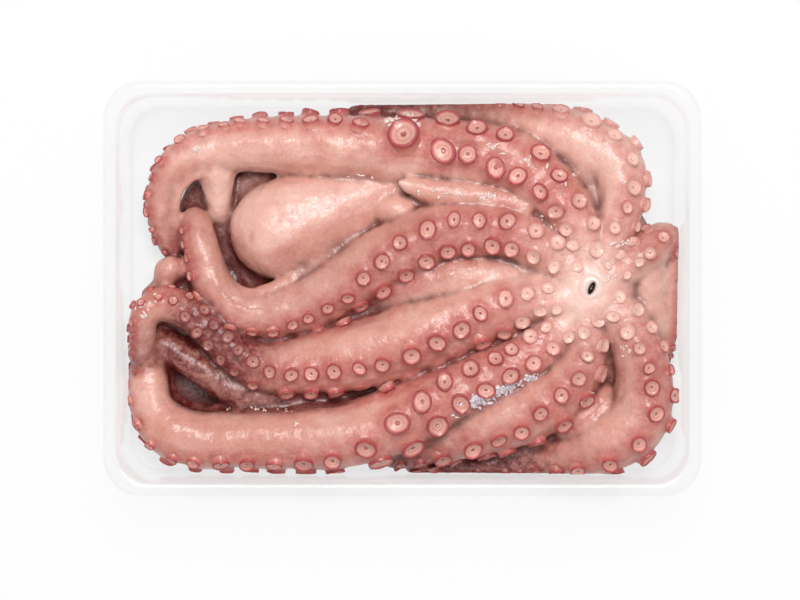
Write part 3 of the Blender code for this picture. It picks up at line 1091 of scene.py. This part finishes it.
@dataclass(frozen=True)
class WetFinish:
    """A plain wet finish: torn skin, slime or the liquid on the tray's floor."""

    name: str
    colour: tuple
    clear: float = 0.0
    roughness: float = 0.3
    ripple: float = 0.0004

    def make(self) -> bpy.types.Material:
        """Build the material.

        Returns:
            The finished material.
        """
        paint = Paint(self.name)
        paint.set(
            Base_Color=self.colour, Roughness=self.roughness, Transmission_Weight=self.clear,
            Coat_Weight=0.8, Coat_Roughness=0.05, IOR=1.36, Subsurface_Weight=0.2, Subsurface_Scale=0.002,
        )
        paint.bump((paint.noise(420.0, 3.0), 0.5, self.ripple))
        return paint.material


@dataclass(frozen=True)
class MouthFinish:
    """The mouth: black-brown inside, grey lips, and the crown's own pale pink outside."""

    def make(self) -> bpy.types.Material:
        """Build the material.

        Returns:
            The finished material.
        """
        paint = Paint("octopus_mouth")
        paint.set(
            Base_Color=paint.ramp(paint.attribute("zone"), (
                (0.00, srgb(14, 10, 10)), (0.20, srgb(34, 22, 20)), (0.32, srgb(140, 116, 112)),
                (0.50, srgb(208, 188, 184)), (0.70, srgb(220, 192, 184)), (1.00, srgb(232, 186, 172)),
            )),
            Roughness=0.4, Coat_Weight=0.5, Coat_Roughness=0.1,
            Subsurface_Weight=0.2, Subsurface_Scale=0.002,
        )
        paint.bump((paint.noise(700.0, 3.0), 0.4, 0.0004))
        return paint.material


@dataclass(frozen=True)
class Scatter:
    """A patch of small wet flakes: its centre, its length and width, its turn and their count."""

    place: tuple[float, float]
    length: float
    width: float
    turn: float
    count: int
    size: float = 0.9


TORN_SKIN = (
    Scatter((1, 74), 9, 5, 10, 26, 1.6), Scatter((41, 62), 6, 3, -30, 8), Scatter((38, 41), 5, 3, 20, 12),
    Scatter((20, 42), 22, 2, -6, 14, 0.7), Scatter((72, 49), 6, 4, 40, 8), Scatter((96, 20), 9, 3, 20, 10),
    Scatter((56, 57), 8, 4, -20, 8), Scatter((16, -62), 5, 3, 30, 6),
    Scatter((60, 30), 16, 3, -25, 12, 0.6), Scatter((-92, 62), 5, 2, 30, 6, 1.2),
    Scatter((-114, -9), 8, 4, 60, 10, 0.9), Scatter((-62, -54), 24, 1.5, -3, 14, 0.6),
    Scatter((99, -26), 7, 4, -60, 9, 0.7), Scatter((80, -49), 8, 2, 45, 8, 0.7),
    Scatter((-47, -60), 3, 1, 80, 3, 0.9), Scatter((-22, 50.5), 9, 1, -5, 4, 0.8),
    Scatter((92, 6), 5, 5, 0, 8, 0.8),
)
SLIME = (
    Scatter((31, -50.5), 9, 3.0, 32, 40, 1.1), Scatter((43, -45), 12, 3.4, 26, 70, 1.2),
    Scatter((56, -39.5), 8, 2.2, 28, 26, 0.9),
)


class Wetness:
    """Torn flakes of skin, a strip of slime, the lips of the mouth and the liquid below."""

    SLIT_TURN = -24.0
    POOL_PLACE = (-95.0, -43.0, 2.1)
    POOL_SIZE = (17.0, 12.5, 2.0)

    def __init__(self, body: Body, skin: bpy.types.Object) -> None:
        """Keep the skin that they lie on."""
        self.body = body
        self.tree = ray_tree(skin)
        self.draw = random.Random(SEED + 2)

    def above(self, x: float, y: float) -> Vector | None:
        """The skin's highest point over a place, in metres."""
        hit, _, _, _ = self.tree.ray_cast(Vector((x, y, 80.0)) * MM, Vector((0.0, 0.0, -1.0)))
        return hit

    def flakes(
        self, name: str, patches: tuple[Scatter, ...], finish: bpy.types.Material,
    ) -> bpy.types.Object:
        """Scatter flakes over patches of the skin.

        Args:
            name: The piece's name.
            patches: Where the flakes lie.
            finish: Their material.

        Returns:
            One piece of flakes.
        """
        bm = bmesh.new()
        for patch in patches:
            turn = Matrix.Rotation(math.radians(patch.turn), 2)
            for _ in range(patch.count):
                reach = self.draw.gauss(0.0, 0.36), self.draw.gauss(0.0, 0.36)
                offset = turn @ Vector((reach[0] * patch.length, reach[1] * patch.width))
                place = self.above(patch.place[0] + offset.x, patch.place[1] + offset.y)
                if place is None:
                    continue
                size = [patch.size * self.draw.uniform(0.8, 2.4) * part for part in (1.0, 0.45, 0.3)]
                shape = Matrix.Diagonal((*(Vector(size) * MM), 1.0))
                lean = Matrix.Rotation(self.draw.uniform(-0.6, 0.6), 4, "X")
                spun = Matrix.Rotation(self.draw.uniform(0.0, math.tau), 4, "Z")
                made = bmesh.ops.create_icosphere(
                    bm, subdivisions=1, radius=1.0, matrix=Matrix.Translation(place) @ spun @ lean @ shape,
                )
                rag = 0.22 * patch.size * MM
                for vert in made["verts"]:
                    vert.co += Vector([self.draw.uniform(-1.0, 1.0) * rag for _ in range(3)])
        return new_piece(name, mesh_from(bm, name), "octopus_flesh", finish)

    def lips(self, finish: bpy.types.Material) -> bpy.types.Object:
        """The mouth: pale lips round a dark slit."""
        mesh = spin(MOUTH_LIPS)
        shape = SkinShape(mesh)
        points = shape.points * MM  # the profile is turned with millimetres as its units
        reach = np.linalg.norm(points[:, :2], axis=1)
        points[:, 0] *= 0.55 + 0.45 * smooth_step(1.2, 4.6, reach)
        points[:, 1] *= 1.55 - 0.55 * smooth_step(1.2, 4.6, reach)
        turn = math.radians(self.SLIT_TURN)
        cosine, sine = math.cos(turn), math.sin(turn)
        points[:, :2] = points[:, :2] @ np.array([[cosine, sine], [-sine, cosine]])
        ring = [
            self.above(MOUTH[0] + 5.0 * math.cos(angle), MOUTH[1] + 5.0 * math.sin(angle))
            for angle in (0.4, 1.6, 2.8, 4.0, 5.2)
        ]
        height = sum(hit.z for hit in ring) / len(ring) / MM
        shape.points = points + np.array([MOUTH[0], MOUTH[1], height + 0.1])
        shape.write()
        return new_piece("mouth_lips", mesh, "octopus_flesh", finish)

    def liquid(self, finish: bpy.types.Material) -> bpy.types.Object:
        """The shallow dark liquid in the corner between the folded arm and the tray's floor."""
        bm = bmesh.new()
        bmesh.ops.create_cone(bm, cap_ends=True, segments=48, radius1=1.0, radius2=0.96, depth=1.0)
        place = Matrix.Translation(Vector(self.POOL_PLACE) * MM)
        size = Matrix.Diagonal((*(Vector(self.POOL_SIZE) * MM), 1.0))
        bmesh.ops.transform(bm, matrix=place @ size, verts=bm.verts)
        return new_piece("purge_liquid", mesh_from(bm, "purge_liquid"), "octopus_flesh", finish)

    def build(self) -> None:
        """Build all four."""
        self.flakes("torn_skin", TORN_SKIN, WetFinish("torn_skin", srgb(236, 202, 194)).make())
        self.flakes("slime", SLIME, WetFinish("slime", srgb(224, 206, 212), roughness=0.25).make())
        self.lips(MouthFinish().make())
        self.liquid(WetFinish("purge_liquid", srgb(126, 84, 82), roughness=0.12, ripple=0.002).make())


class Tray:
    """The clear tray: a thin sheet with a rounded foot, a lid ledge and a turned flange."""

    WALL = 0.55
    CORNER = 14.0
    SEGMENTS = 14
    FLOOR_INSET = 14.0
    PROFILE = (
        (12.2, 0.25), (10.9, 0.8), (9.8, 1.6), (8.9, 2.8), (8.2, 4.2), (7.8, 5.8),
        (6.9, 44.6), (6.7, 45.5), (6.1, 46.2), (5.9, 46.8), (5.6, 50.2), (5.4, 50.9), (4.9, 51.3),
        (1.9, 51.3), (1.2, 51.0), (0.75, 50.3), (0.6, 49.4), (0.6, 47.5),
    )

    def __init__(self, low: Vector, high: Vector) -> None:
        """Keep the CAD tray's box."""
        self.half = ((high.x - low.x) / 2 / MM, (high.y - low.y) / 2 / MM)

    def half_sizes(self, inset: float) -> tuple[float, float]:
        """Half length and half width at an inset from the flange's edge, in metres."""
        return ((self.half[0] - inset) * MM, (self.half[1] - inset) * MM)

    def build(self, finish: bpy.types.Material) -> bpy.types.Object:
        """Grow the sheet from its floor and give it its wall.

        Args:
            finish: The clear material.

        Returns:
            The tray.
        """
        bm = bmesh.new()
        bmesh.ops.create_grid(bm, x_segments=1, y_segments=1, size=1.0)
        old = self.half_sizes(self.FLOOR_INSET)
        bmesh.ops.scale(bm, vec=(*old, 1.0), verts=bm.verts)
        bmesh.ops.bevel(
            bm, geom=list(bm.verts), offset=self.CORNER * MM, segments=self.SEGMENTS,
            profile=0.5, affect="VERTICES", material=-1,
        )
        bmesh.ops.reverse_faces(bm, faces=bm.faces)
        edges = [edge for edge in bm.edges if edge.is_boundary]
        for inset, height in self.PROFILE:
            grown = bmesh.ops.extrude_edge_only(bm, edges=edges)["geom"]
            verts = [item for item in grown if isinstance(item, bmesh.types.BMVert)]
            edges = [item for item in grown if isinstance(item, bmesh.types.BMEdge)]
            new = self.half_sizes(inset)
            bmesh.ops.scale(bm, vec=(new[0] / old[0], new[1] / old[1], 1.0), verts=verts)
            bmesh.ops.translate(bm, vec=(0.0, 0.0, height * MM - verts[0].co.z), verts=verts)
            old = new
        bmesh.ops.recalc_face_normals(bm, faces=bm.faces)
        floor = min(bm.faces, key=lambda face: face.calc_center_median().z)
        if floor.normal.z > 0:
            bmesh.ops.reverse_faces(bm, faces=bm.faces)
        tray = new_piece("tray_sheet", mesh_from(bm, "tray_sheet"), "tray_plastic", finish)
        wall = tray.modifiers.new("wall", "SOLIDIFY")
        wall.thickness = self.WALL * MM
        wall.offset = -1.0
        wall.use_even_offset = True
        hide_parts("tray")
        return tray


class Studio:
    """A plain white floor, soft light from above and behind, and a camera straight over."""

    FRAME_WIDTH = 349.9
    HEIGHT = 1700.0
    AIM = (-1.1, -5.0)

    def floor(self) -> None:
        """Lay a wide white floor under the tray."""
        bm = bmesh.new()
        bmesh.ops.create_grid(bm, x_segments=1, y_segments=1, size=6.0)
        bmesh.ops.translate(bm, vec=(0.0, 0.0, -0.0002), verts=bm.verts)
        floor = bpy.data.objects.new("studio_floor", mesh_from(bm, "studio_floor"))
        bpy.context.scene.collection.objects.link(floor)
        paint = Paint("studio_white")
        paint.set(
            Base_Color=(0.2, 0.2, 0.2, 1.0), Roughness=0.9,
            Emission_Color=(1.0, 1.0, 1.0, 1.0), Emission_Strength=0.735,
        )
        paint.shader.inputs["Specular IOR Level"].default_value = 0.1
        floor.data.materials.append(paint.material)

    def light(self, name: str, place: tuple, size: float, power: float) -> None:
        """Hang one square soft light, aimed at the tray."""
        lamp = bpy.data.lights.new(name, "AREA")
        lamp.size = size
        lamp.energy = power
        holder = bpy.data.objects.new(name, lamp)
        holder.location = place
        holder.rotation_euler = (-Vector(place)).to_track_quat("-Z", "Y").to_euler()
        bpy.context.scene.collection.objects.link(holder)

    def build(self) -> None:
        """Set the floor, the lights, the sky and the camera."""
        self.floor()
        self.light("soft_back", (0.1, 0.62, 1.7), 0.7, 26.0)
        self.light("soft_front", (-0.5, -1.0, 1.7), 1.0, 5.0)
        world = bpy.data.worlds.new("studio")
        world.use_nodes = True
        sky = world.node_tree.nodes["Background"]
        sky.inputs["Color"].default_value = (1.0, 1.0, 1.0, 1.0)
        sky.inputs["Strength"].default_value = 0.5
        bpy.context.scene.world = world
        bpy.context.scene.view_settings.view_transform = "Standard"
        camera = bpy.data.cameras.new("camera")
        camera.sensor_width = 36.0
        camera.lens = camera.sensor_width * self.HEIGHT / self.FRAME_WIDTH
        camera.clip_end = 20.0
        holder = bpy.data.objects.new("camera", camera)
        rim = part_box("tray")[1][2] / MM
        holder.location = (self.AIM[0] * MM, self.AIM[1] * MM, (rim + self.HEIGHT) * MM)
        bpy.context.scene.collection.objects.link(holder)
        bpy.context.scene.camera = holder


def main() -> None:
    """Build every sub-assembly in order and report the pieces."""
    logging.basicConfig(level=logging.INFO, format="%(name)s: %(message)s")
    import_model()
    low, high = (Vector(corner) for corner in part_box("tray"))
    room = Room(half_x=high.x / MM - WALL_INSET, half_y=high.y / MM - WALL_INSET, floor=SHEET_TOP)
    body = Body(room)
    skin = body.build(FleshFinish(Flesh.SKIN).make())
    Suckers(body, skin).build(FleshFinish(Flesh.SUCKER).make())
    Wetness(body, skin).build()
    Tray(low, high).build(ClearPlastic().make())
    Studio().build()


if __name__ == "__main__":
    main()
